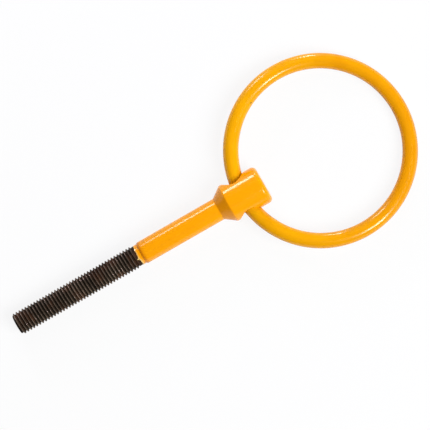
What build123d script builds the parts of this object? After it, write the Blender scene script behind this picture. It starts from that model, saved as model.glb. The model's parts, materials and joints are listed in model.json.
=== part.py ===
"""Screw-in tow eye.

A shank turned from one bar carries a threaded stud, a plain shank, a conical flare and a cross-drilled head.
A ring of round bar, closed through the head, swings in the cross bore.
The part lies as it comes to rest, on the tip of its stud, the back of its head and the far side of its ring.
"""

import math
import os

from build123d import *

# Driving dimensions in millimetres, angles in degrees

# Stud: a rolled coarse thread, drawn plain at its crests
thread_diameter = 12.0
thread_pitch = 1.75
thread_angle = 60.0
thread_length = 70.0
neck_length = 3.2

# Plain shank, flare and head
shank_diameter = 12.0
shank_length = 45.5
flare_angle = 36.0
head_diameter = 20.4
head_back_round = 1.2
head_front_round = 2.4

# Cross bore: how much wider than the bar it is, and the metal left behind and ahead of it
bore_clearance = 4.0
bore_rim_chamfer = 0.6
wall_behind_bore = 1.8
wall_ahead_of_bore = 7.0

# Ring, drawn outwards until only the play is left at the mouths of the bore
bar_diameter = 8.0
ring_inner_diameter = 84.0
ring_play = 0.3

# The thread is rolled on a blank as thick as its pitch line, and its tip is chamfered down to its root.
# Both lie a standard share of the thread triangle's height below the crests.
pitch_line_share = 3 / 8
root_share = 17 / 24
thread_triangle = thread_pitch / (2 * math.tan(math.radians(thread_angle / 2)))
thread_radius = thread_diameter / 2
neck_radius = thread_radius - thread_triangle * pitch_line_share
tip_chamfer = thread_triangle * root_share

# Radii
shank_radius = shank_diameter / 2
head_radius = head_diameter / 2
bar_radius = bar_diameter / 2
bore_radius = (bar_diameter + bore_clearance) / 2
ring_radius = (ring_inner_diameter + bar_diameter) / 2

# Stations along the shank, from the centre of the cross bore at zero towards the ring
head_front = bore_radius + wall_ahead_of_bore
head_back = -bore_radius - wall_behind_bore
flare_back = head_back - (head_radius - shank_radius) / math.tan(math.radians(flare_angle))
shoulder = flare_back - shank_length
shoulder_end = shoulder + abs(shank_radius - neck_radius)
thread_end = shoulder - neck_length
thread_runout = thread_end - (thread_radius - neck_radius)
tip = thread_end - thread_length
tip_crest = tip + tip_chamfer

# The ring's centre is out where its inner edge is only the play away from the start of the bore's rims
rim_start = head_radius - bore_rim_chamfer
inner_radius = ring_inner_diameter / 2
ring_reach = bore_radius - ring_play + math.sqrt(inner_radius**2 - rim_start**2)

# How the shank lies: a line from the first crest that touches the round at the back of the head
back_round_centre = head_back + head_back_round * math.tan(math.radians(flare_angle / 2))
support_run = back_round_centre - tip_crest
support_rise = head_radius - head_back_round - thread_radius
support_length = math.hypot(support_run, support_rise)
shank_tilt = math.atan2(support_rise, support_run) + math.asin(head_back_round / support_length)
bore_height = thread_radius * math.cos(shank_tilt) - tip_crest * math.sin(shank_tilt)

# How the ring lies: held up by the bore, with its far side on the same surface
ring_tilt = math.asin((bore_height - bar_radius) / (ring_reach + ring_radius))

# The origin is on that surface, under the middle of the part's length
tip_reach = (thread_radius - tip_chamfer) * math.sin(shank_tilt) - tip * math.cos(shank_tilt)
far_reach = (ring_reach + ring_radius) * math.cos(ring_tilt) + bar_radius
bore_centre = Vector((tip_reach - far_reach) / 2, 0, bore_height)

# Directions: along the bore, along the shank towards the head, and from the bore to the ring's far side
across = Vector(0, 1, 0)
along_shank = Vector(math.cos(shank_tilt), 0, math.sin(shank_tilt))
along_ring = Vector(math.cos(ring_tilt), 0, -math.sin(ring_tilt))
ring_centre = bore_centre + along_ring * ring_reach

# Planes: half the shank's section, the cross bore, and the bar's section at the ring's far side
section_plane = Plane(bore_centre, x_dir=along_shank, z_dir=-across)
bore_plane = Plane(bore_centre, x_dir=along_shank, z_dir=across)
bar_plane = Plane(ring_centre + along_ring * ring_radius, x_dir=along_ring, z_dir=across)

# Shank: half its section turned about its axis, then drilled across, with the rims of the bore chamfered
with BuildPart() as shank:
    with BuildSketch(section_plane):
        with BuildLine():
            FilletPolyline(
                (tip, 0),
                (tip, thread_radius - tip_chamfer),
                (tip_crest, thread_radius),
                (thread_runout, thread_radius),
                (thread_end, neck_radius),
                (shoulder, neck_radius),
                (shoulder_end, shank_radius),
                (flare_back, shank_radius),
                (head_back, head_radius),
                (head_front, head_radius),
                (head_front, 0),
                radius=(0, 0, 0, 0, 0, 0, 0, 0, head_back_round, head_front_round, 0),
                close=True,
            )
        make_face()
    revolve(axis=Axis(bore_centre, along_shank))
    with Locations(bore_plane):
        Hole(bore_radius)
    bore_rims = shank.edges(Select.LAST).filter_by(GeomType.LINE, reverse=True)
    chamfer(bore_rims, bore_rim_chamfer)

# Ring: the bar's round section carried once about the ring's centre
with BuildPart() as tow_ring:
    with BuildSketch(bar_plane):
        Circle(bar_radius)
    revolve(axis=Axis(ring_centre, across.cross(along_ring)))

os.makedirs("parts", exist_ok=True)
shank.part.label = "shank"
tow_ring.part.label = "tow_ring"
export_step(shank.part, "parts/shank.step")
export_step(tow_ring.part, "parts/tow_ring.step")
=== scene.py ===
"""Screw-in tow eye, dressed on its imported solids.

One operator turns the shank, with its rolled thread, its cross bore and the edge of its paint. One bends
the ring. One sets the camera, the floor and the lamps. Lengths are in metres and angles in radians.
"""

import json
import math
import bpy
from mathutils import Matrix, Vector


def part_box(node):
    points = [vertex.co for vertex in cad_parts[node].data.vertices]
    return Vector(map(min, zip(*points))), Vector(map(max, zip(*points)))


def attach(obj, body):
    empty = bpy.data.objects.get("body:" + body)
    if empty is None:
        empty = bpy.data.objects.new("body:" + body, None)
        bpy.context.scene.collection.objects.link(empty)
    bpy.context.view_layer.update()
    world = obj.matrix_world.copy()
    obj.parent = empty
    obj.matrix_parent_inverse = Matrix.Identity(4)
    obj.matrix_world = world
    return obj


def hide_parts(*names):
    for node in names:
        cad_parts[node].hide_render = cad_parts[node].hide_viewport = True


bl_info = {
    "name": "Tow eye",
    "version": (1, 0, 0),
    "blender": (4, 5, 0),
    "location": "View3D > Sidebar > Tow eye",
    "description": "Builds the shank, the ring and the studio stage of a screw-in tow eye",
    "category": "Object",
}

import bmesh
import bpy
import numpy as np
from bpy.props import FloatProperty, FloatVectorProperty, IntProperty, PointerProperty
from bpy.types import Operator, Panel, PropertyGroup
from mathutils import Vector

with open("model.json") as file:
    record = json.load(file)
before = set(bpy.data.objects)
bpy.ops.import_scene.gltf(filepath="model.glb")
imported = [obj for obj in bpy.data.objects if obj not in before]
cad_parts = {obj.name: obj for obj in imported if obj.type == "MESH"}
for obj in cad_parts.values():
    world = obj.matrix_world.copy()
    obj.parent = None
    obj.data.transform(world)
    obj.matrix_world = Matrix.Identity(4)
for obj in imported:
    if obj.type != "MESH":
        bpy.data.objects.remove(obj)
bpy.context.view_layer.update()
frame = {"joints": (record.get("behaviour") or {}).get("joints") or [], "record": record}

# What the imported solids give: where the bore, the thread and the ring's far side are, and their sizes
swing = next(joint for joint in frame["joints"] if joint["name"] == "ring_swing")
mounts = {mount["name"]: mount for mount in frame["record"]["mounts"]}
shank_low, shank_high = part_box("shank")
ring_low, ring_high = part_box("tow_ring")
bore_centre = np.array(swing["pos_m"])
across = np.array(swing["axis"])
thread_middle = np.array(mounts["thread"]["pos_m"])
along_shank = -np.array(mounts["thread"]["axis"])
up_from_shank = np.cross(along_shank, across)
ring_far_side = np.array(mounts["tow_point"]["pos_m"])
along_ring = np.array(mounts["tow_point"]["axis"])
up_from_ring = np.cross(along_ring, across)

# Taken off the bar's radius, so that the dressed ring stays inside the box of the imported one
HAIR = 0.000005

# Meshes: points nearer than this become one, and edges that turn by more than this stay sharp
WELD_DISTANCE = 2e-7
SHARP_ANGLE = math.radians(38)

# Standard form of the thread: the angle between its flanks, three shares of its triangle's height, and the
# crest's share of its pitch
THREAD_ANGLE = math.radians(60)
PITCH_LINE_SHARE = 3 / 8
ROOT_DEPTH_SHARE = 17 / 24
ROOT_RADIUS_SHARE = 1 / 6
CREST_WIDTH_SHARE = 1 / 8

# Neck: how far the thread's groove runs out into it, and how far before the shoulder the paint's lip ends
GROOVE_RUNOUT = 0.00095
LIP_MARGIN = 0.0004

# Lip of the paint, from its edge on: shares of the way to its end, and heights there in paint thicknesses
LIP_SHARES = (0.0, 0.012, 0.05, 0.1, 0.18, 0.32, 0.46, 0.6, 0.8, 1.0)
LIP_HEIGHTS = (0.0, 0.55, 1.05, 1.2, 1.1, 1.0, 1.0, 1.0, 1.0, 1.0)

# Edge of the paint: its waves, each with a height, a number round the neck and a phase, the places where it
# has drawn back or run down, each with an angle, a width and how far the edge moves, and how far it stays
# from the groove
EDGE_WAVES = (
    (0.0002, 2, math.pi / 2),
    (0.00011, 5, 0.7),
    (0.0001, 9, 2.1),
    (0.00008, 14, 4.0),
    (0.00007, 23, 1.3),
)
RUN_ANGLE = math.radians(111)
RUN_WIDTH = 0.085
EDGE_SHIFTS = (
    (math.radians(130), 0.16, 0.00045),
    (RUN_ANGLE, RUN_WIDTH, -0.00075),
    (math.radians(262), 0.14, -0.0004),
)
EDGE_CLEARANCE = 0.00007

# Smear that the first run leaves on the thread: where it starts and where it is full, from the thread's end
SMEAR_START = -0.0002
SMEAR_FULL = 0.0008

# Thin film on the lip, paler than the paint: partly thin paint, partly a painted highlight along its edge.
# The share of the lip that it covers all round, and how much more it covers at one angle, over a width
FILM_REACH = 0.2
WIDE_FILM_REACH = 0.4
WIDE_FILM_ANGLE = math.radians(138)
WIDE_FILM_WIDTH = 0.4

# Painted shade: a darker paint colour in place of the shade on the shoulder's step and the flare.
# Where its line lies past the shoulder and how wide it is, and its share on the flare, with the lengths
# over which it rises before and after the flare's foot and fades before the head
SHADE_LINE_OFFSET = 0.0006
SHADE_LINE_WIDTH = 0.0008
FLARE_SHADE_SHARE = 0.38
FLARE_SHADE_LEAD = 0.0005
FLARE_SHADE_RISE = 0.0003
FLARE_SHADE_FADE = 0.0006

# How much rougher the paint is where it is dry, and where it is chipped off
DRY_ROUGHNESS = 0.45
CHIP_ROUGHNESS = 0.3

# Window in the head's cylinder round each mouth of the bore: how far past the bore it ends, its rows of
# points and its angle to either side
WINDOW_MARGIN = 0.0017
WINDOW_ROWS = 22
WINDOW_HALF_ANGLE = math.radians(51)

# Ring: the angle from its far side to the way along which its paint darkens, a painted shade towards its
# far side, and where the paint is chipped, by the angle round the ring and the angle round its bar
SHADE_RUN_TURN = math.radians(20)
CHIP_TURN = math.radians(116.3)
CHIP_BAR_TURN = math.radians(136)


class TowEyeSizes(PropertyGroup):
    """Sizes of the shank and the ring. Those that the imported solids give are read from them."""

    thread_diameter: FloatProperty(
        name="Thread diameter", description="Across the crests of the thread",
        default=2 * mounts["thread"]["dims"]["r_mm"] / 1000, unit="LENGTH")
    thread_crests: FloatProperty(
        name="Crest length", description="Length of the stud that has full crests",
        default=mounts["thread"]["dims"]["length_mm"] / 1000, unit="LENGTH")
    thread_pitch: FloatProperty(
        name="Thread pitch", description="From one crest to the next",
        default=0.00175, unit="LENGTH")
    neck_length: FloatProperty(
        name="Neck length", description="From the end of the thread to the shoulder of the shank",
        default=0.0032, unit="LENGTH")
    shoulder_foot_round: FloatProperty(
        name="Shoulder foot round", description="Radius of the paint between the neck and the shoulder",
        default=0.0004, unit="LENGTH")
    shoulder_round: FloatProperty(
        name="Shoulder round", description="Radius of the paint between the shoulder and the plain shank",
        default=0.0015, unit="LENGTH")
    shank_diameter: FloatProperty(
        name="Shank diameter", description="Across the plain shank",
        default=0.012, unit="LENGTH")
    flare_foot_round: FloatProperty(
        name="Flare foot round", description="Radius of the paint between the plain shank and the flare",
        default=0.0009, unit="LENGTH")
    flare_angle: FloatProperty(
        name="Flare angle", description="Between the flare and the axis of the shank",
        default=math.radians(36), subtype="ANGLE")
    head_diameter: FloatProperty(
        name="Head diameter", description="Across the head",
        default=shank_high.y - shank_low.y, unit="LENGTH")
    head_back_round: FloatProperty(
        name="Back round", description="Radius of the edge between the flare and the head",
        default=0.0012, unit="LENGTH")
    head_front_round: FloatProperty(
        name="Front round", description="Radius of the edge at the head's free end",
        default=0.0024, unit="LENGTH")
    bore_diameter: FloatProperty(
        name="Bore diameter", description="Across the hole that the ring runs through",
        default=0.012, unit="LENGTH")
    bore_rim_round: FloatProperty(
        name="Rim round", description="Radius of the bore's rims",
        default=0.0006, unit="LENGTH")
    wall_behind_bore: FloatProperty(
        name="Wall behind bore", description="From the bore to the back edge of the head",
        default=0.0018, unit="LENGTH")
    wall_ahead_of_bore: FloatProperty(
        name="Wall ahead of bore", description="From the bore to the free end of the head",
        default=0.007, unit="LENGTH")
    ring_diameter: FloatProperty(
        name="Ring diameter", description="Across the outside of the ring",
        default=ring_high.y - ring_low.y, unit="LENGTH")
    bar_diameter: FloatProperty(
        name="Bar diameter", description="Across the bar of the ring",
        default=2 * (ring_far_side[2] - ring_low.z - HAIR), unit="LENGTH")


class TowEyeFinish(PropertyGroup):
    """Paint, bare steel and the fineness of the meshes."""

    enamel_colour: FloatVectorProperty(
        name="Enamel", description="Colour of the paint where it is thin",
        default=(0.98, 0.374, 0.001, 1.0), size=4, subtype="COLOR", min=0.0, max=1.0)
    # The shank's paint darkens to this colour towards the thread, and in random clouds
    enamel_deep_colour: FloatVectorProperty(
        name="Deep enamel", description="Colour of the paint where it is thick",
        default=(0.91, 0.342, 0.001, 1.0), size=4, subtype="COLOR", min=0.0, max=1.0)
    ring_enamel_colour: FloatVectorProperty(
        name="Ring enamel", description="Colour of the ring's paint where it is thin",
        default=(0.88, 0.4, 0.001, 1.0), size=4, subtype="COLOR", min=0.0, max=1.0)
    # Painted shade towards the ring's far side, and the deep side of the paint's random clouds
    ring_enamel_deep_colour: FloatVectorProperty(
        name="Deep ring enamel", description="Colour of the ring's paint where it is thick",
        default=(0.775, 0.305, 0.001, 1.0), size=4, subtype="COLOR", min=0.0, max=1.0)
    # Partly thin paint, partly a painted highlight on the lip's edge; the smear on the thread takes it too
    thin_enamel_and_highlight_colour: FloatVectorProperty(
        name="Thin enamel", description="Colour of the paint where it thins out at its edge on the neck",
        default=(0.95, 0.66, 0.22, 1.0), size=4, subtype="COLOR", min=0.0, max=1.0)
    # Painted shade: this darker colour stands in for the shade on the shoulder's step and the flare
    painted_shade_enamel_colour: FloatVectorProperty(
        name="Pooled enamel", description="Colour of the paint where it has run together at the shoulder",
        default=(0.68, 0.21, 0.001, 1.0), size=4, subtype="COLOR", min=0.0, max=1.0)
    steel_colour: FloatVectorProperty(
        name="Thread crests", description="Colour of the worn steel on the crests of the thread",
        default=(0.22, 0.168, 0.126, 1.0), size=4, subtype="COLOR", min=0.0, max=1.0)
    flank_colour: FloatVectorProperty(
        name="Thread flanks", description="Colour of the blackened steel on the flanks of the thread",
        default=(0.046, 0.033, 0.022, 1.0), size=4, subtype="COLOR", min=0.0, max=1.0)
    groove_colour: FloatVectorProperty(
        name="Thread grooves", description="Colour of the blackened steel down in the thread",
        default=(0.011, 0.008, 0.005, 1.0), size=4, subtype="COLOR", min=0.0, max=1.0)
    rust_colour: FloatVectorProperty(
        name="Brown bloom", description="Colour of the brown patches on the thread",
        default=(0.085, 0.036, 0.018, 1.0), size=4, subtype="COLOR", min=0.0, max=1.0)
    paint_thickness: FloatProperty(
        name="Paint thickness", description="Thickness of the paint at its edge on the neck",
        default=0.00014, unit="LENGTH")
    paint_edge: FloatProperty(
        name="Bare neck", description="From the end of the thread to the middle of the paint's edge",
        default=0.0013, unit="LENGTH")
    columns: IntProperty(
        name="Columns", description="Faces once round the shank, a multiple of 60", default=120, min=60)
    ring_columns: IntProperty(
        name="Ring columns", description="Faces once round the ring", default=288, min=24)
    bar_columns: IntProperty(
        name="Bar columns", description="Faces once round the bar of the ring", default=48, min=12)


class TowEyeStage(PropertyGroup):
    """Picture frame, camera, floor and light."""

    picture_size: IntProperty(
        name="Picture size", description="Width and height of the picture in pixels", default=430)
    ring_column: FloatProperty(
        name="Ring column", description="Pixel column of the ring's centre", default=320.6)
    ring_row: FloatProperty(
        name="Ring row", description="Pixel row of the ring's centre", default=150.5)
    ring_pixels: FloatProperty(
        name="Ring pixels", description="Radius of the middle of the ring's bar in pixels", default=90.12)
    shank_turn: FloatProperty(
        name="Shank turn", description="How far the shank is turned up from the picture's lower edge",
        default=math.radians(29.862), subtype="ANGLE")
    camera_height: FloatProperty(
        name="Camera height", description="From the ring up to the camera", default=1.6, unit="LENGTH")
    sensor: FloatProperty(
        name="Sensor", description="Width of the camera's sensor in millimetres", default=36.0)
    floor_colour: FloatVectorProperty(
        name="Floor", description="Colour of the floor",
        default=(0.82, 0.83, 0.85, 1.0), size=4, subtype="COLOR", min=0.0, max=1.0)
    floor_mottle_colour: FloatVectorProperty(
        name="Floor mottle", description="Colour that the floor's mottle leans to",
        default=(0.8, 0.8, 0.8, 1.0), size=4, subtype="COLOR", min=0.0, max=1.0)
    floor_white: FloatProperty(
        name="Floor white", description="How far the floor is lifted towards white where it is seen",
        default=0.88, min=0.0, max=1.0, subtype="FACTOR")
    floor_radius: FloatProperty(
        name="Floor radius", description="From the part to the wall that the floor turns up into",
        default=3.5, unit="LENGTH")
    floor_bend: FloatProperty(
        name="Floor bend", description="Radius of the bend between the floor and its wall",
        default=0.25, unit="LENGTH")
    wall_height: FloatProperty(
        name="Wall height", description="From the floor to the top of the wall", default=0.4, unit="LENGTH")
    floor_drop: FloatProperty(
        name="Floor drop", description="Height of the floor, a hair below the part",
        default=-0.00002, unit="LENGTH")
    window_colour: FloatVectorProperty(
        name="Window colour", description="Colour of the lamps that the paint mirrors",
        default=(0.95, 0.9, 1.2), size=3, subtype="COLOR", min=0.0)
    ambient: FloatProperty(
        name="Ambient", description="Strength of the light from all round", default=0.1)
    ambient_colour: FloatVectorProperty(
        name="Ambient colour", description="Colour of the light from all round",
        default=(1.0, 0.96, 0.92, 1.0), size=4, subtype="COLOR", min=0.0, max=1.0)


def circle_angles(count):
    """Angles once round in equal steps, the last on the first again."""
    return np.linspace(0.0, 2 * np.pi, count + 1)


def smooth_step(start, stop, value):
    """0 before start, 1 after stop, and a soft rise between them."""
    share = np.clip((value - start) / (stop - start), 0.0, 1.0)
    return share * share * (3 - 2 * share)


def bell(value, middle, width):
    """1 at the middle, falling softly to both sides: e to the minus square of the distance in widths."""
    return np.exp(-((value - middle) / width) ** 2)


def placed(along, sideways, upwards, forward=along_shank, up=up_from_shank, centre=bore_centre):
    """Points that lie so far from a centre along one direction, along the bore's axis and upwards."""
    along, sideways, upwards = np.broadcast_arrays(along, sideways, upwards)
    return centre + along[..., None] * forward + sideways[..., None] * across + upwards[..., None] * up


def round_shank(station, radius, angle):
    """Points at a station along the shank, a radius from its axis and an angle round it.

    The angle starts at the bore's axis and turns right-handed about the direction from the tip to the head.
    """
    return placed(station, radius * np.cos(angle), radius * np.sin(angle))


def rounded_outline(corners, radii, steps=6):
    """A line through the corners in which each inner corner is an arc of its radius.

    An arc starts where the radius times the tangent of half the turn is left before the corner, and goes
    round a centre that lies one radius to the side that the line turns to.
    """
    corners = np.asarray(corners, float)
    parts = [corners[:1]]
    for before, corner, after, radius in zip(corners, corners[1:], corners[2:], radii):
        way_in = (corner - before) / np.hypot(*(corner - before))
        way_out = (after - corner) / np.hypot(*(after - corner))
        turn = math.atan2(way_in[0] * way_out[1] - way_in[1] * way_out[0], way_in @ way_out)
        side = math.copysign(1.0, turn) * np.array([-way_in[1], way_in[0]])
        start = corner - way_in * radius * abs(math.tan(turn / 2))
        angle = np.linspace(0.0, turn, steps + 1)[:, None]
        spoke = -side * np.cos(angle) - np.array([-side[1], side[0]]) * np.sin(angle)
        parts.append(start + side * radius + spoke * radius)
    return np.concatenate(parts + [corners[-1:]])


def spaced(outline, longest):
    """The outline with further points on its long runs, so that no run is longer than that."""
    lengths = np.hypot(*np.diff(outline, axis=0).T)
    counts = np.maximum(1, np.ceil(lengths / longest)).astype(int)
    steps = [darkening + np.arange(count) / count for darkening, count in enumerate(counts)]
    steps = np.concatenate(steps + [[len(counts)]])
    knots = np.arange(len(outline))
    return np.stack([np.interp(steps, knots, column) for column in outline.T], axis=-1)


class Shank:
    """Radii of the shank, and its stations from the bore's centre at zero towards the ring."""

    def __init__(self, sizes, finish):
        self.pitch = sizes.thread_pitch
        self.triangle = self.pitch / (2 * math.tan(THREAD_ANGLE / 2))
        self.root_depth = self.triangle * ROOT_DEPTH_SHARE
        self.thread_radius = sizes.thread_diameter / 2
        self.tip_radius = self.thread_radius - self.root_depth
        self.neck_radius = self.thread_radius - self.triangle * PITCH_LINE_SHARE
        self.bare_radius = self.neck_radius - finish.paint_thickness
        self.radius = sizes.shank_diameter / 2
        self.head_radius = sizes.head_diameter / 2
        self.bore_radius = sizes.bore_diameter / 2
        middle = (thread_middle - bore_centre) @ along_shank
        self.tip = middle - sizes.thread_crests / 2 - self.root_depth
        self.thread_end = middle + sizes.thread_crests / 2 + self.thread_radius - self.neck_radius
        self.groove_end = self.thread_end + GROOVE_RUNOUT
        self.shoulder = self.thread_end + sizes.neck_length
        self.lip_end = self.shoulder - LIP_MARGIN
        self.head_back = -self.bore_radius - sizes.wall_behind_bore
        self.flare_back = self.head_back - (self.head_radius - self.radius) / math.tan(sizes.flare_angle)
        self.head_front = self.bore_radius + sizes.wall_ahead_of_bore
        # The windows start where the rounded back edge of the head ends
        self.window_back = self.head_back + sizes.head_back_round * math.tan(sizes.flare_angle / 2)
        self.window_front = self.bore_radius + WINDOW_MARGIN


class Ring:
    """Radii and centre of the ring."""

    def __init__(self, sizes):
        self.bar_radius = sizes.bar_diameter / 2
        self.radius = sizes.ring_diameter / 2 - self.bar_radius
        self.centre = ring_far_side - along_ring * self.radius

    def points(self, turn, bar):
        """Points at an angle round the ring from its far side and one round its bar from the outside."""
        reach = self.radius + self.bar_radius * np.cos(bar)
        return placed(
            reach * np.cos(turn), reach * np.sin(turn), self.bar_radius * np.sin(bar),
            along_ring, up_from_ring, self.centre)


def thread_profile(shank, bevel=0.00005, root_points=5):
    """One pitch of the thread: distance along the shank from the middle of a crest, and depth below it.

    The crest is an eighth of a pitch wide with its edges broken, the flanks lie at 60 degrees to each
    other, and the root is an arc of a sixth of the thread triangle's height that runs from flank to flank.
    """
    half_crest = shank.pitch * CREST_WIDTH_SHARE / 2
    lean = math.tan(THREAD_ANGLE / 2)
    crest = np.array([
        [-half_crest - bevel * lean, bevel],
        [-half_crest + bevel, 0.0],
        [half_crest - bevel, 0.0],
        [half_crest + bevel * lean, bevel],
    ])
    root_radius = shank.triangle * ROOT_RADIUS_SHARE
    half_arc = math.pi / 2 - THREAD_ANGLE / 2
    arc = np.linspace(-half_arc, half_arc, root_points)
    root = np.stack([
        shank.pitch / 2 + root_radius * np.sin(arc),
        shank.root_depth - root_radius + root_radius * np.cos(arc),
    ], axis=-1)
    return np.concatenate([crest, root])


def thread_surface(shank, columns, lead=1.5, spare_turns=2, fade_start=0.9, fade_stop=0.05):
    """The rolled thread, on a grid whose rows climb one pitch in each turn.

    A row keeps its place on the thread's profile, so its station is that of its start plus the pitch times
    the share of a turn. The first row starts a lead of so many pitches before the tip, and what lies before
    the tip or past the groove's end is pressed flat there. A cone cuts the crests at the tip, another takes
    them down to the neck, and the groove fades out between two numbers of pitches before its end.
    """
    profile = thread_profile(shank)
    turns = math.ceil((shank.groove_end - shank.tip) / shank.pitch) + spare_turns
    starts = shank.tip + shank.pitch * (np.arange(turns) - lead)
    row_start = (starts[:, None] + profile[:, 0]).ravel()[:, None]
    depth = np.tile(profile[:, 1], turns)[:, None]
    angle = circle_angles(columns)[None, :]
    station = row_start + shank.pitch * angle / (2 * np.pi)
    radius = shank.thread_radius - depth
    fade = smooth_step(
        shank.groove_end - fade_start * shank.pitch, shank.groove_end - fade_stop * shank.pitch, station)
    radius = radius + (shank.bare_radius - radius) * fade
    station = np.clip(station, shank.tip, shank.groove_end)
    tip_cone = shank.tip_radius + station - shank.tip
    neck_cone = np.maximum(shank.bare_radius + shank.thread_end - station, shank.bare_radius)
    radius = np.minimum(radius, np.minimum(tip_cone, neck_cone))
    crest = 1 - np.clip((shank.thread_radius - radius) / shank.root_depth, 0.0, 1.0)
    smear = smooth_step(shank.thread_end + SMEAR_START, shank.thread_end + SMEAR_FULL, station)
    smear = smear * bell(angle, RUN_ANGLE, RUN_WIDTH)
    return {"points": round_shank(station, radius, angle), "crest": crest, "film_and_painted_light": smear}


def tip_surface(shank, columns, rows=7, dish=0.00025, dish_rim=0.9, dish_floor=0.45, wear=0.45):
    """The end of the stud: rings that shrink to the axis, hollowed by a shallow dish.

    The dish sinks between two shares of the end's radius, its rim and its floor.
    """
    share = np.linspace(1.0, 0.0, rows)[:, None]
    hollow = dish * smooth_step(0.0, dish_rim - dish_floor, dish_rim - share)
    angle = circle_angles(columns)[None, :]
    return {"points": round_shank(shank.tip + hollow, share * shank.tip_radius, angle), "crest": wear}


def paint_edge(shank, finish, angle):
    """Station of the paint's ragged edge: its middle, a few waves round the neck, a bay and two runs."""
    waves = sum(height * np.sin(number * angle + phase) for height, number, phase in EDGE_WAVES)
    shifts = sum(length * bell(angle, place, width) for place, width, length in EDGE_SHIFTS)
    bare_length = np.maximum(finish.paint_edge + waves + shifts, GROOVE_RUNOUT + EDGE_CLEARANCE)
    return shank.thread_end + bare_length


def neck_surfaces(shank, finish, columns, bare_rows=5, wear=0.3):
    """The bare neck from the groove's end to the paint's edge, and the lip of the paint from there on.

    Each row lies a share of the way from one station to the next, and the paint rises over a small bead.
    """
    angle = circle_angles(columns)[None, :]
    edge = paint_edge(shank, finish, angle)
    share = np.linspace(0.0, 1.0, bare_rows)[:, None]
    bare = round_shank(shank.groove_end + share * (edge - shank.groove_end), shank.bare_radius, angle)
    share = np.array(LIP_SHARES)[:, None]
    height = np.array(LIP_HEIGHTS)[:, None] * finish.paint_thickness
    lip = round_shank(edge + share * (shank.lip_end - edge), shank.bare_radius + height, angle)
    # Paler film on the lip: thin paint and a painted highlight along its edge
    reach = FILM_REACH + WIDE_FILM_REACH * bell(angle, WIDE_FILM_ANGLE, WIDE_FILM_WIDTH)
    return (
        {"points": bare, "crest": wear},
        {"points": lip, "painted": True, "film_and_painted_light": bell(share, 0.0, reach)},
    )


def painted_shoulder_shade(shank, station):
    """Painted shade: a soft line past the shoulder and a share of it on the flare, where shade falls."""
    line = bell(station, shank.shoulder + SHADE_LINE_OFFSET, SHADE_LINE_WIDTH)
    foot = smooth_step(shank.flare_back - FLARE_SHADE_LEAD, shank.flare_back + FLARE_SHADE_RISE, station)
    edge = smooth_step(shank.head_back - FLARE_SHADE_FADE, shank.head_back, station)
    return line + FLARE_SHADE_SHARE * foot * (1 - edge)


def shank_surface(shank, sizes, columns, row_length=0.0012):
    """The painted shank from the lip to the back of the head: its outline turned about its axis."""
    outline = rounded_outline(
        [
            (shank.lip_end, shank.neck_radius),
            (shank.shoulder, shank.neck_radius),
            (shank.shoulder + shank.radius - shank.neck_radius, shank.radius),
            (shank.flare_back, shank.radius),
            (shank.head_back, shank.head_radius),
            (shank.window_back, shank.head_radius),
        ],
        (sizes.shoulder_foot_round, sizes.shoulder_round, sizes.flare_foot_round, sizes.head_back_round),
    )
    outline = spaced(outline, row_length)
    station = outline[:, :1]
    angle = circle_angles(columns)[None, :]
    return {
        "points": round_shank(station, outline[:, 1:], angle),
        "painted": True,
        # Below zero this layer is painted shade on the shoulder's step and the flare
        "film_and_painted_light": -painted_shoulder_shade(shank, station),
    }


def head_end_surface(shank, sizes, columns, row_length=0.0015, arc_steps=10):
    """The head's free end: cylinder, rounded edge and flat face, turned about the axis and closed there."""
    outline = rounded_outline(
        [
            (shank.window_front, shank.head_radius),
            (shank.head_front, shank.head_radius),
            (shank.head_front, 0.0),
        ],
        (sizes.head_front_round,), arc_steps,
    )
    outline = spaced(outline, row_length)
    angle = circle_angles(columns)[None, :]
    return {"points": round_shank(outline[:, :1], outline[:, 1:], angle), "painted": True}


def head_side_surface(shank, stations, first, last, columns):
    """A plain stretch of the head's cylinder between two angles, above or below the mouths of the bore."""
    angle = circle_angles(columns)[first:last + 1][None, :]
    return {"points": round_shank(stations[:, None], shank.head_radius, angle), "painted": True}


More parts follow.
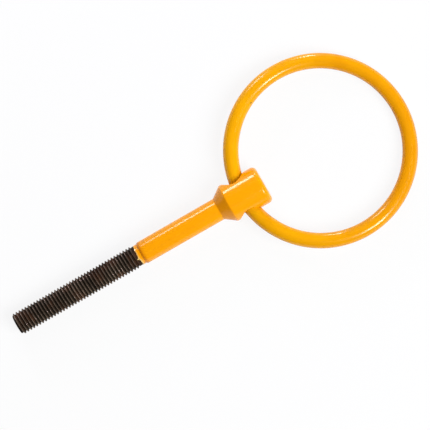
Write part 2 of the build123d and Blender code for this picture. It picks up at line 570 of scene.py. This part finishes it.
def bore_surface(shank, sizes, stations, half_columns, columns, side,
                 wall_rows=7, rim_rows=9, head_rows=7, rounds=8):
    """One half of the cross bore, with its rounded rim and the stretch of the head round its mouth.

    In each plane through the bore's axis the line runs up the wall, round the rim and out along the head to
    the edge of a window in the head's cylinder. The head's height over the bore's middle is the root of its
    radius squared less the height over the axis squared, and the rim is an arc that touches both it and
    the wall. The paint is dry on the wall and glossy from the rim outwards.
    """
    window = circle_angles(columns)[:half_columns + 1]
    window = np.concatenate([-window[:0:-1], window])
    rows = len(stations) - 1
    edge_angle = np.concatenate([
        window[:-1], np.full(rows, window[-1]), window[:0:-1], np.full(rows + 1, window[0])])
    edge_station = np.concatenate([
        np.full(2 * half_columns, stations[0]), stations[:-1],
        np.full(2 * half_columns, stations[-1]), stations[::-1]])
    edge_height = shank.head_radius * np.sin(edge_angle)
    way = np.arctan2(edge_height, edge_station)
    edge_reach = np.hypot(edge_height, edge_station)
    rise = np.sin(way) ** 2
    rim_round = sizes.bore_rim_round

    # The point where the rim's arc meets the head, found by a few rounds from the slope at that point
    lean = np.full_like(way, np.pi / 2)
    for _ in range(rounds):
        meeting_reach = shank.bore_radius + rim_round * (1 + np.cos(lean))
        meeting_depth = np.sqrt(shank.head_radius ** 2 - meeting_reach ** 2 * rise)
        lean = np.arctan2(1.0, meeting_reach * rise / meeting_depth)
    wall_end = meeting_depth - rim_round * np.sin(lean)

    wall_depth = np.linspace(0.0, 1.0, wall_rows)[:, None] * wall_end
    wall_reach = np.full_like(wall_depth, shank.bore_radius)
    turn = np.pi + np.linspace(0.0, 1.0, rim_rows)[1:, None] * (lean - np.pi)
    rim_depth = wall_end + rim_round * np.sin(turn)
    rim_reach = shank.bore_radius + rim_round + rim_round * np.cos(turn)
    share = np.linspace(0.0, 1.0, head_rows)[1:, None]
    head_reach = meeting_reach + share * (edge_reach - meeting_reach)
    head_depth = np.sqrt(shank.head_radius ** 2 - head_reach ** 2 * rise)
    reach = np.concatenate([wall_reach, rim_reach, head_reach])
    depth = np.concatenate([wall_depth, rim_depth, head_depth])
    dry = np.concatenate([
        np.ones(len(wall_depth)), np.linspace(1.0, 0.0, len(rim_depth)), np.zeros(len(head_depth))])
    return {
        "points": placed(reach * np.cos(way), side * depth, reach * np.sin(way)),
        "painted": True,
        "dry": dry[:, None],
    }


def ring_surface(ring, finish):
    """The ring: a point goes once round the bar, and the bar's middle once round the ring's centre."""
    turn = circle_angles(finish.ring_columns)[:, None]
    bar = circle_angles(finish.bar_columns)[None, :]
    return {"points": ring.points(turn, bar), "painted": True}


def grid_faces(rows, columns):
    """The faces of a grid: each joins four points that are neighbours in its rows and columns."""
    index = np.arange(rows * columns).reshape(rows, columns)
    corners = [index[:-1, :-1], index[:-1, 1:], index[1:, 1:], index[1:, :-1]]
    return np.stack(corners, axis=-1).reshape(-1, 4)


def weld(mesh):
    """Joins the points of a mesh that lie together, turns its faces one way and counts its open edges."""
    shell = bmesh.new()
    shell.from_mesh(mesh)
    bmesh.ops.remove_doubles(shell, verts=shell.verts, dist=WELD_DISTANCE)
    bmesh.ops.recalc_face_normals(shell, faces=shell.faces)
    open_edges = sum(1 for edge in shell.edges if not edge.is_manifold)
    shell.to_mesh(mesh)
    shell.free()
    return open_edges


def build_piece(name, surfaces, materials):
    """One closed mesh of all the surfaces: their grids' faces, welded where the grids meet.

    A painted surface takes the last of the materials, and any other the first.
    """
    points, faces, painted = [], [], []
    layers = {"crest": [], "film_and_painted_light": [], "dry": []}
    first = 0
    for surface in surfaces:
        rows, columns = surface["points"].shape[:2]
        quads = first + grid_faces(rows, columns)
        points.append(surface["points"].reshape(-1, 3))
        faces.append(quads)
        painted.append(np.full(len(quads), int(surface.get("painted", False))))
        for layer, values in layers.items():
            values.append(np.broadcast_to(surface.get(layer, 0.0), (rows, columns)).ravel())
        first += rows * columns
    mesh = bpy.data.meshes.new(name)
    mesh.from_pydata(np.concatenate(points).tolist(), [], np.concatenate(faces).tolist())
    for material in materials:
        mesh.materials.append(material)
    mesh.polygons.foreach_set("material_index", np.concatenate(painted) * (len(materials) - 1))
    for layer, values in layers.items():
        attribute = mesh.attributes.new(layer, "FLOAT", "POINT")
        attribute.data.foreach_set("value", np.concatenate(values).astype(np.float32))
    open_edges = weld(mesh)
    if open_edges:
        raise RuntimeError(f"{name} has {open_edges} edges that are not closed")
    mesh.shade_smooth()
    mesh.set_sharp_from_angle(angle=SHARP_ANGLE)
    piece = bpy.data.objects.new(name, mesh)
    bpy.context.scene.collection.objects.link(piece)
    return piece


def feed(tree, node, inputs):
    """Gives each named or numbered input of a node its value, or links the output that feeds it."""
    for name, value in inputs.items():
        if isinstance(value, bpy.types.NodeSocket):
            tree.links.new(value, node.inputs[name])
        else:
            node.inputs[name].default_value = value


def add_node(tree, kind, inputs, **settings):
    """A new node with its settings made and its inputs fed."""
    node = tree.nodes.new(kind)
    for name, value in settings.items():
        setattr(node, name, value)
    feed(tree, node, inputs)
    return node


def noise(tree, place, scale, detail=2.0, roughness=0.5):
    """Noise of so many grains a metre."""
    node = add_node(
        tree, "ShaderNodeTexNoise",
        {"Vector": place, "Scale": scale, "Detail": detail, "Roughness": roughness})
    return node.outputs["Fac"]


def ramp(tree, value, low, high, to_low=0.0, to_high=1.0):
    """The value carried from one range to another and held at its ends."""
    node = add_node(
        tree, "ShaderNodeMapRange",
        {"Value": value, "From Min": low, "From Max": high, "To Min": to_low, "To Max": to_high})
    return node.outputs["Result"]


def combine(tree, operation, first, second, **settings):
    """Two values put together by a Math node's operation."""
    node = add_node(tree, "ShaderNodeMath", {0: first, 1: second}, operation=operation, **settings)
    return node.outputs["Value"]


def mix_colours(tree, share, first, second):
    """The second colour laid over the first by that share."""
    node = add_node(tree, "ShaderNodeMix", {0: share, 6: first, 7: second}, data_type="RGBA")
    return node.outputs[2]


def layer_value(tree, layer):
    """What one of the mesh's layers holds: crest, film_and_painted_light or dry."""
    return add_node(tree, "ShaderNodeAttribute", {}, attribute_name=layer).outputs["Fac"]


def bump(tree, height, strength, distance):
    """The surface's direction, tilted by a pattern of heights."""
    node = add_node(tree, "ShaderNodeBump", {"Height": height, "Strength": strength, "Distance": distance})
    return node.outputs["Normal"]


def new_material(name):
    """A material, its node tree, its shader and the Object coordinates that its patterns read."""
    material = bpy.data.materials.new(name)
    material.use_nodes = True
    tree = material.node_tree
    shader = tree.nodes["Principled BSDF"]
    place = add_node(tree, "ShaderNodeTexCoord", {}).outputs["Object"]
    return material, tree, shader, place


def chip_share(tree, place, centre, inside=0.00062, outside=0.00078, ragged=0.0006):
    """1 in a small chip round the centre, 0 away from it, by the distance plus a ragged share of noise."""
    away = add_node(tree, "ShaderNodeVectorMath", {0: place, 1: centre}, operation="DISTANCE")
    grain = noise(tree, place, scale=1400.0)
    reach = add_node(
        tree, "ShaderNodeMath", {0: grain, 1: ragged, 2: away.outputs["Value"]}, operation="MULTIPLY_ADD")
    return ramp(tree, reach.outputs["Value"], inside, outside, to_low=1.0, to_high=0.0)


def enamel_material(name, finish, light, deep, darkening, chip=None):
    """Gloss orange-yellow enamel: clouds from light to deep, orange peel, and one chip where it is given.

    The darkening is a direction and two places along it: the colour goes from light at the first to deep
    at the second. On the ring this is painted shade, darker towards its far side; on the shank the paint
    darkens from the head towards the thread. Above zero the film layer mixes in the thin colour: thin
    paint, paler partly as a painted highlight on the lip. Below zero it mixes in painted shade on the
    shoulder and the flare. The dry layer makes it dull.
    """
    material, tree, shader, place = new_material(name)
    way, light_end, dark_end = darkening
    # Along the darkening: painted shade towards the ring's far side, darker towards the thread on the shank
    along = add_node(tree, "ShaderNodeVectorMath", {0: place, 1: way}, operation="DOT_PRODUCT")
    shade_run = ramp(tree, along.outputs["Value"], light_end, dark_end)
    cloud = ramp(tree, noise(tree, place, scale=70.0, detail=3.0), 0.3, 0.7, to_low=-0.3, to_high=0.3)
    tone_and_shade = combine(tree, "ADD", cloud, shade_run, use_clamp=True)
    colour = mix_colours(tree, tone_and_shade, light, deep)
    film_and_painted_light = layer_value(tree, "film_and_painted_light")
    # Paler colour on the lip: thin paint and a painted highlight along its edge
    colour = mix_colours(tree, ramp(tree, film_and_painted_light, 0.0, 1.0), colour, finish.thin_enamel_and_highlight_colour)
    # Painted shade on the shoulder's step and the flare, where the film layer is below zero
    colour = mix_colours(tree, ramp(tree, film_and_painted_light, 0.0, -1.0), colour, finish.painted_shade_enamel_colour)
    roughness = ramp(tree, noise(tree, place, scale=240.0, detail=3.0), 0.3, 0.7, to_low=0.16, to_high=0.21)
    dry = combine(tree, "MULTIPLY", layer_value(tree, "dry"), DRY_ROUGHNESS)
    roughness = combine(tree, "ADD", roughness, dry)
    if chip is not None:
        bare = chip_share(tree, place, chip)
        colour = mix_colours(tree, bare, colour, finish.groove_colour)
        roughness = combine(tree, "ADD", roughness, combine(tree, "MULTIPLY", bare, CHIP_ROUGHNESS))
    feed(tree, shader, {
        "Base Color": colour,
        "Roughness": roughness,
        "Specular IOR Level": 0.4,
        "Specular Tint": (1.0, 0.93, 0.6, 1.0),
        "Normal": bump(tree, noise(tree, place, scale=520.0), strength=0.006, distance=0.0002),
    })
    return material


def thread_steel_material(name, finish):
    """Blackened rolled steel: dark grooves, greyer crests, brown bloom in patches and a fine grain.

    Where the film layer says so, it has a smear of paint.
    """
    material, tree, shader, place = new_material(name)
    crest = layer_value(tree, "crest")
    colour = mix_colours(tree, ramp(tree, crest, 0.05, 0.75), finish.groove_colour, finish.flank_colour)
    bloom = ramp(tree, noise(tree, place, scale=130.0, detail=4.0, roughness=0.6), 0.48, 0.72, to_high=0.8)
    colour = mix_colours(tree, bloom, colour, finish.rust_colour)
    rubbed = ramp(tree, noise(tree, place, scale=320.0, detail=4.0), 0.36, 0.64, to_low=0.15)
    worn = combine(tree, "MULTIPLY", ramp(tree, crest, 0.82, 0.98), rubbed)
    colour = mix_colours(tree, worn, colour, finish.steel_colour)
    patches = ramp(tree, noise(tree, place, scale=95.0), 0.32, 0.68, to_low=0.62, to_high=1.38)
    patchy = add_node(tree, "ShaderNodeVectorMath", {0: colour, "Scale": patches}, operation="SCALE")
    smear = ramp(tree, layer_value(tree, "film_and_painted_light"), 0.3, 0.6)
    colour = mix_colours(tree, smear, patchy.outputs["Vector"], finish.thin_enamel_and_highlight_colour)
    grain = noise(tree, place, scale=2600.0, detail=3.0, roughness=0.6)
    feed(tree, shader, {
        "Base Color": colour,
        "Roughness": ramp(tree, worn, 0.0, 1.0, to_low=0.55, to_high=0.22),
        "Metallic": ramp(tree, worn, 0.0, 1.0, to_high=0.6),
        "Specular IOR Level": 0.04,
        "Normal": bump(tree, grain, strength=0.12, distance=0.00008),
    })
    return material


class TOWEYE_OT_shank(Operator):
    """Turn the shank: thread, neck, plain shank, flare and cross-bored head, with the edge of its paint"""

    bl_idname = "tow_eye.shank"
    bl_label = "Shank"

    def execute(self, context):
        sizes = context.scene.tow_eye_sizes
        finish = context.scene.tow_eye_finish
        shank = Shank(sizes, finish)
        columns = finish.columns
        half_turn = columns // 2
        half_window = round(columns * WINDOW_HALF_ANGLE / (2 * math.pi))
        stations = np.linspace(shank.window_back, shank.window_front, WINDOW_ROWS)
        origin = bore_centre @ along_shank
        steel = thread_steel_material("blackened_thread", finish)
        # The paint darkens from the head's free end to its deepest colour as far beyond the shoulder as the
        # shoulder is from the bore
        enamel = enamel_material(
            "shank_enamel", finish, finish.enamel_colour, finish.enamel_deep_colour,
            darkening=(along_shank, origin + shank.head_front, origin + 2 * shank.shoulder))
        piece = build_piece(
            "threaded_shank",
            [
                tip_surface(shank, columns),
                thread_surface(shank, columns),
                *neck_surfaces(shank, finish, columns),
                shank_surface(shank, sizes, columns),
                head_side_surface(shank, stations, half_window, half_turn - half_window, columns),
                head_side_surface(shank, stations, half_turn + half_window, columns - half_window, columns),
                bore_surface(shank, sizes, stations, half_window, columns, side=1),
                bore_surface(shank, sizes, stations, half_window, columns, side=-1),
                head_end_surface(shank, sizes, columns),
            ],
            [steel, enamel],
        )
        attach(piece, "shank")
        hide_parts("shank")
        return {"FINISHED"}


class TOWEYE_OT_ring(Operator):
    """Bend the ring from round bar and paint it"""

    bl_idname = "tow_eye.ring"
    bl_label = "Ring"

    def execute(self, context):
        finish = context.scene.tow_eye_finish
        ring = Ring(context.scene.tow_eye_sizes)
        # Painted shade: the ring's paint darkens towards its far side, along this way
        shade_run = math.cos(SHADE_RUN_TURN) * along_ring - math.sin(SHADE_RUN_TURN) * across
        middle = ring.centre @ shade_run
        enamel = enamel_material(
            "ring_enamel", finish, finish.ring_enamel_colour, finish.ring_enamel_deep_colour,
            darkening=(shade_run, middle - ring.radius, middle + ring.radius),
            chip=ring.points(CHIP_TURN, CHIP_BAR_TURN))
        piece = build_piece("ring_bar", [ring_surface(ring, finish)], [enamel])
        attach(piece, "tow_ring")
        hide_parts("tow_ring")
        return {"FINISHED"}


def add_camera(scene, stage, ring):
    """The camera: straight above the point that the middle of the picture shows."""
    pixels_per_metre = stage.ring_pixels / ring.radius
    right = np.array([math.cos(stage.shank_turn), -math.sin(stage.shank_turn), 0.0])
    down = np.array([-math.sin(stage.shank_turn), -math.cos(stage.shank_turn), 0.0])
    half = stage.picture_size / 2
    offset = ((half - stage.ring_column) * right + (half - stage.ring_row) * down) / pixels_per_metre
    optics = bpy.data.cameras.new("camera")
    optics.sensor_width = stage.sensor
    optics.lens = stage.sensor * pixels_per_metre * stage.camera_height / stage.picture_size
    camera = bpy.data.objects.new("camera", optics)
    camera.location = ring.centre + offset + np.array([0.0, 0.0, stage.camera_height])
    camera.rotation_euler = (0.0, 0.0, -stage.shank_turn)
    scene.collection.objects.link(camera)
    scene.camera = camera


def floor_mesh(stage, columns=96, bend_steps=16):
    """The paper floor: a flat that curves up into a low wall, its outline turned about the upright axis."""
    flat = (0.0, stage.floor_drop)
    corner = (stage.floor_radius, stage.floor_drop)
    rim = (stage.floor_radius, stage.wall_height)
    outline = rounded_outline([flat, corner, rim], (stage.floor_bend,), bend_steps)
    angle = circle_angles(columns)[None, :]
    reach = outline[:, :1]
    height = outline[:, 1:] + 0 * angle
    points = np.stack([reach * np.cos(angle), reach * np.sin(angle), height], axis=-1)
    mesh = bpy.data.meshes.new("floor")
    mesh.from_pydata(points.reshape(-1, 3).tolist(), [], grid_faces(*points.shape[:2]).tolist())
    weld(mesh)
    mesh.shade_smooth()
    return mesh


def seen_directly(tree):
    """1 for rays from the camera and for those that a reflection or clear material sends on, else 0."""
    path = add_node(tree, "ShaderNodeLightPath", {}).outputs
    mirrored = combine(tree, "MAXIMUM", path["Is Glossy Ray"], path["Is Transmission Ray"])
    return combine(tree, "MAXIMUM", path["Is Camera Ray"], mirrored)


def floor_material(stage):
    """Pale matt paper, lifted towards white where it is seen, by a share that keeps some of the shadow."""
    material, tree, shader, place = new_material("floor_paper")
    mottle = ramp(tree, noise(tree, place, scale=3.0), 0.3, 0.7, to_high=0.05)
    shade = mix_colours(tree, mottle, stage.floor_colour, stage.floor_mottle_colour)
    feed(tree, shader, {"Base Color": shade, "Roughness": 0.9, "Specular IOR Level": 0.0})
    white = add_node(tree, "ShaderNodeEmission", {"Color": (1.0, 1.0, 1.0, 1.0), "Strength": 1.0})
    lifted = combine(tree, "MULTIPLY", seen_directly(tree), stage.floor_white)
    blend = add_node(
        tree, "ShaderNodeMixShader", {0: lifted, 1: shader.outputs["BSDF"], 2: white.outputs["Emission"]})
    feed(tree, tree.nodes["Material Output"], {"Surface": blend.outputs["Shader"]})
    return material


def add_surroundings(scene, stage):
    """A dim even light from all round."""
    world = bpy.data.worlds.new("surroundings")
    world.use_nodes = True
    inputs = {"Color": stage.ambient_colour, "Strength": stage.ambient}
    feed(world.node_tree, world.node_tree.nodes["Background"], inputs)
    scene.world = world


def aim_lamp(name, place, target, width, height, radiance, colour=(1.0, 1.0, 1.0)):
    """A soft box of that size at a place, turned to the target, as bright all over as its radiance says."""
    lamp = bpy.data.lights.new(name, "AREA")
    lamp.shape = "RECTANGLE"
    lamp.size = width
    lamp.size_y = height
    lamp.energy = radiance * math.pi * width * height
    lamp.color = colour
    box = bpy.data.objects.new(name, lamp)
    box.location = place
    box.rotation_euler = (Vector(target) - Vector(place)).to_track_quat("-Z", "Y").to_euler()
    bpy.context.scene.collection.objects.link(box)
    return box


def add_lamps(stage):
    """A key and a fill that light the part but aren't mirrored in it, and the lamps that its paint mirrors.

    Those are a window and a strip beyond its far side, a low window beyond the ring, and a box on the near
    side that gives no other light.
    """
    origin = (0.0, 0.0, 0.0)
    ring_middle = (0.064, 0.0, 0.012)
    cool = stage.window_colour
    key = aim_lamp(
        "key", place=(0.476, -0.635, 1.0), target=origin, width=0.8, height=0.8, radiance=9.1)
    key.visible_glossy = False
    aim_lamp(
        "back_window", place=(0.01, 0.675, 0.2385), target=(0.01, 0.0, 0.012),
        width=0.085, height=0.15, radiance=29.0, colour=cool)
    aim_lamp(
        "back_strip", place=(-0.0575, 0.675, 0.2385), target=(-0.0575, 0.0, 0.012),
        width=0.05, height=0.15, radiance=16.0, colour=cool)
    aim_lamp(
        "side_window", place=(0.288, 0.447, 0.05), target=ring_middle,
        width=0.07, height=0.08, radiance=42.0, colour=cool)
    near = aim_lamp(
        "near_box", place=(0.18, -0.323, 0.36), target=ring_middle,
        width=0.09, height=0.14, radiance=36.0, colour=cool)
    near.visible_diffuse = False
    fill = aim_lamp(
        "fill", place=(0.3, 0.75, 0.75), target=origin, width=0.6, height=0.6, radiance=2.2)
    fill.visible_glossy = False


class TOWEYE_OT_stage(Operator):
    """Set the camera, the floor, the surroundings and the lamps"""

    bl_idname = "tow_eye.stage"
    bl_label = "Stage"

    def execute(self, context):
        scene = context.scene
        stage = scene.tow_eye_stage
        add_camera(scene, stage, Ring(scene.tow_eye_sizes))
        floor = bpy.data.objects.new("floor", floor_mesh(stage))
        floor.data.materials.append(floor_material(stage))
        scene.collection.objects.link(floor)
        add_surroundings(scene, stage)
        add_lamps(stage)
        scene.view_settings.view_transform = "Standard"
        return {"FINISHED"}


class TOWEYE_PT_panel(Panel):
    """Lists the pieces and the stage"""

    bl_label = "Tow eye"
    bl_idname = "TOWEYE_PT_panel"
    bl_space_type = "VIEW_3D"
    bl_region_type = "UI"
    bl_category = "Tow eye"

    def draw(self, context):
        for operator in OPERATORS:
            self.layout.operator(operator.bl_idname)
        for name in GROUPS:
            group = getattr(context.scene, name)
            box = self.layout.box()
            for key in group.__annotations__:
                box.prop(group, key)


OPERATORS = (TOWEYE_OT_shank, TOWEYE_OT_ring, TOWEYE_OT_stage)
GROUPS = {"tow_eye_sizes": TowEyeSizes, "tow_eye_finish": TowEyeFinish, "tow_eye_stage": TowEyeStage}
CLASSES = (*GROUPS.values(), *OPERATORS, TOWEYE_PT_panel)


def register():
    """Registers the classes and hangs the settings on the scene."""
    for kind in CLASSES:
        bpy.utils.register_class(kind)
    for name, group in GROUPS.items():
        setattr(bpy.types.Scene, name, PointerProperty(type=group))


def unregister():
    """Takes the settings off the scene and the classes out again."""
    for name in GROUPS:
        delattr(bpy.types.Scene, name)
    for kind in reversed(CLASSES):
        bpy.utils.unregister_class(kind)


def main():
    """Builds every piece and the stage."""
    register()
    bpy.ops.tow_eye.shank()
    bpy.ops.tow_eye.ring()
    bpy.ops.tow_eye.stage()


if __name__ == "__main__":
    main()
